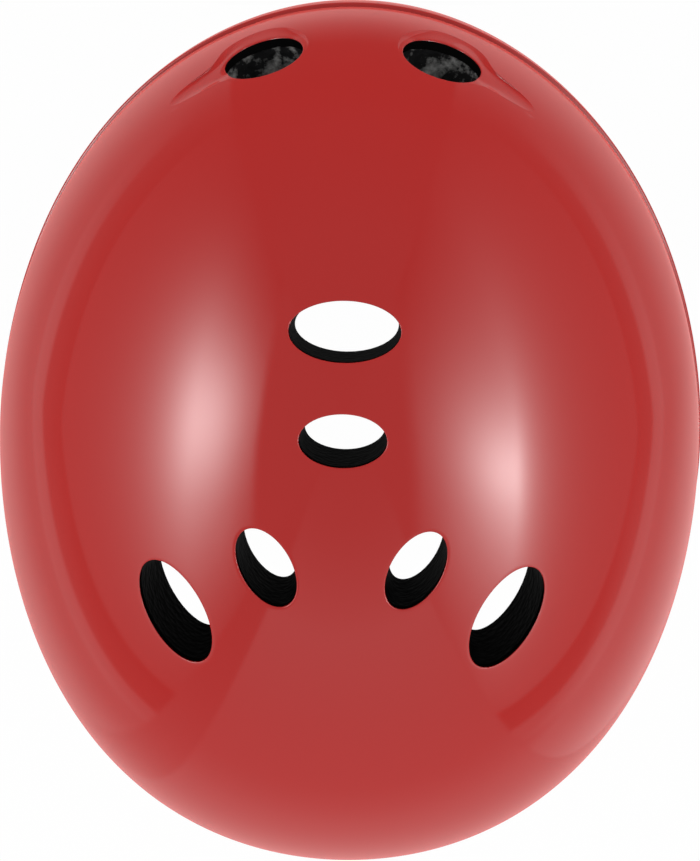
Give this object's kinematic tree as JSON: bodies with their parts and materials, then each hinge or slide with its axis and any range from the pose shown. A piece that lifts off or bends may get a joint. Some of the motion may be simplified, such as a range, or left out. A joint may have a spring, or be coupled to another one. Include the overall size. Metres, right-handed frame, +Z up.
{
  "type": "skateboard helmet",
  "caption": "Hard-shell skate helmet with a glossy domed shell, oval vents, a foam liner with fabric pads, and Y-shaped chin straps with a side-release buckle.",
  "frame": {"origin": "middle of the head opening, on the symmetry plane at the shell's widest level, where the head's girth sits", "axes": "+Z up to the crown, -Y to the front of the helmet, +X to the wearer's left"},
  "size_m": [0.2262, 0.2749, 0.338],
  "materials": {
    "shell": "high-gloss red ABS",
    "liner": "black expanded polystyrene foam beads",
    "hook_tape": "woven hook tape",
    "rivet": "satin black nylon",
    "washer": "black nylon",
    "webbing": "woven polypropylene webbing",
    "buckle_plastic": "fine-textured black acetal",
    "keeper_rubber": "matt rubber",
    "pad_fabric": "brushed knit over foam"
  },
  "bodies": {
    "helmet": {"outer_shell": "shell", "eps_liner": "liner", "pad_hook_patches": "hook_tape", "strap_rivets": "rivet", "rivet_washers": "washer", "left_front_strap_end": "webbing", "left_rear_strap_end": "webbing", "right_front_strap_end": "webbing", "right_rear_strap_end": "webbing", "brow_pad": "pad_fabric", "nape_pad": "pad_fabric", "left_side_pad": "pad_fabric", "right_side_pad": "pad_fabric", "left_crown_pad": "pad_fabric", "right_crown_pad": "pad_fabric", "rear_crown_pad": "pad_fabric"},
    "left_straps": {"left_front_strap": "webbing", "left_rear_strap": "webbing"},
    "right_straps": {"right_front_strap": "webbing", "right_rear_strap": "webbing"},
    "left_divider": {"left_strap_divider": "buckle_plastic"},
    "right_divider": {"right_strap_divider": "buckle_plastic"},
    "female_buckle": {"female_buckle": "buckle_plastic"},
    "male_buckle": {"male_buckle": "buckle_plastic"},
    "front_prong": {"front_prong": "buckle_plastic"},
    "rear_prong": {"rear_prong": "buckle_plastic"},
    "keeper": {"strap_keeper": "keeper_rubber"}
  },
  "joints": [
    {"name": "left_strap_swing", "type": "hinge", "parent": "helmet", "child": "left_straps", "pos_m": [0.09946, -0.047, -0.03516], "axis": [0.017, -0.9903, 0.138], "range_deg": [-20, 75]},
    {"name": "right_strap_swing", "type": "hinge", "parent": "helmet", "child": "right_straps", "pos_m": [-0.09946, -0.047, -0.03516], "axis": [0.017, 0.9903, -0.138], "range_deg": [-20, 75]},
    {"name": "left_divider_slide", "type": "slide", "parent": "left_straps", "child": "left_divider", "axis": [0, 0, -1], "range_m": [0, 0.02]},
    {"name": "right_divider_slide", "type": "slide", "parent": "right_straps", "child": "right_divider", "axis": [0, 0, -1], "range_m": [0, 0.02]},
    {"name": "female_buckle_pivot", "type": "hinge", "parent": "left_straps", "child": "female_buckle", "pos_m": [0.09686, 0.006, -0.192], "axis": [0, -1, 0], "range_deg": [-75, 75]},
    {"name": "male_buckle_pivot", "type": "hinge", "parent": "right_straps", "child": "male_buckle", "pos_m": [-0.09686, 0.006, -0.192], "axis": [0, 1, 0], "range_deg": [-75, 75]},
    {"name": "front_prong_squeeze", "type": "hinge", "parent": "male_buckle", "child": "front_prong", "pos_m": [-0.09686, -0.0009, -0.2079], "axis": [1, 0, 0], "range_deg": [0, 7], "stiffness_Nm_per_rad": 0.2},
    {"name": "rear_prong_squeeze", "type": "hinge", "parent": "male_buckle", "child": "rear_prong", "pos_m": [-0.09686, 0.0129, -0.2079], "axis": [1, 0, 0], "range_deg": [-7, 0], "stiffness_Nm_per_rad": 0.2},
    {"name": "keeper_slide", "type": "slide", "parent": "right_straps", "child": "keeper", "axis": [0, 0, 1], "range_m": [-0.009, 0.009]}
  ],
  "couplings": [
    {"joint": "rear_prong_squeeze", "follows": "front_prong_squeeze", "ratio": -1}
  ]
}
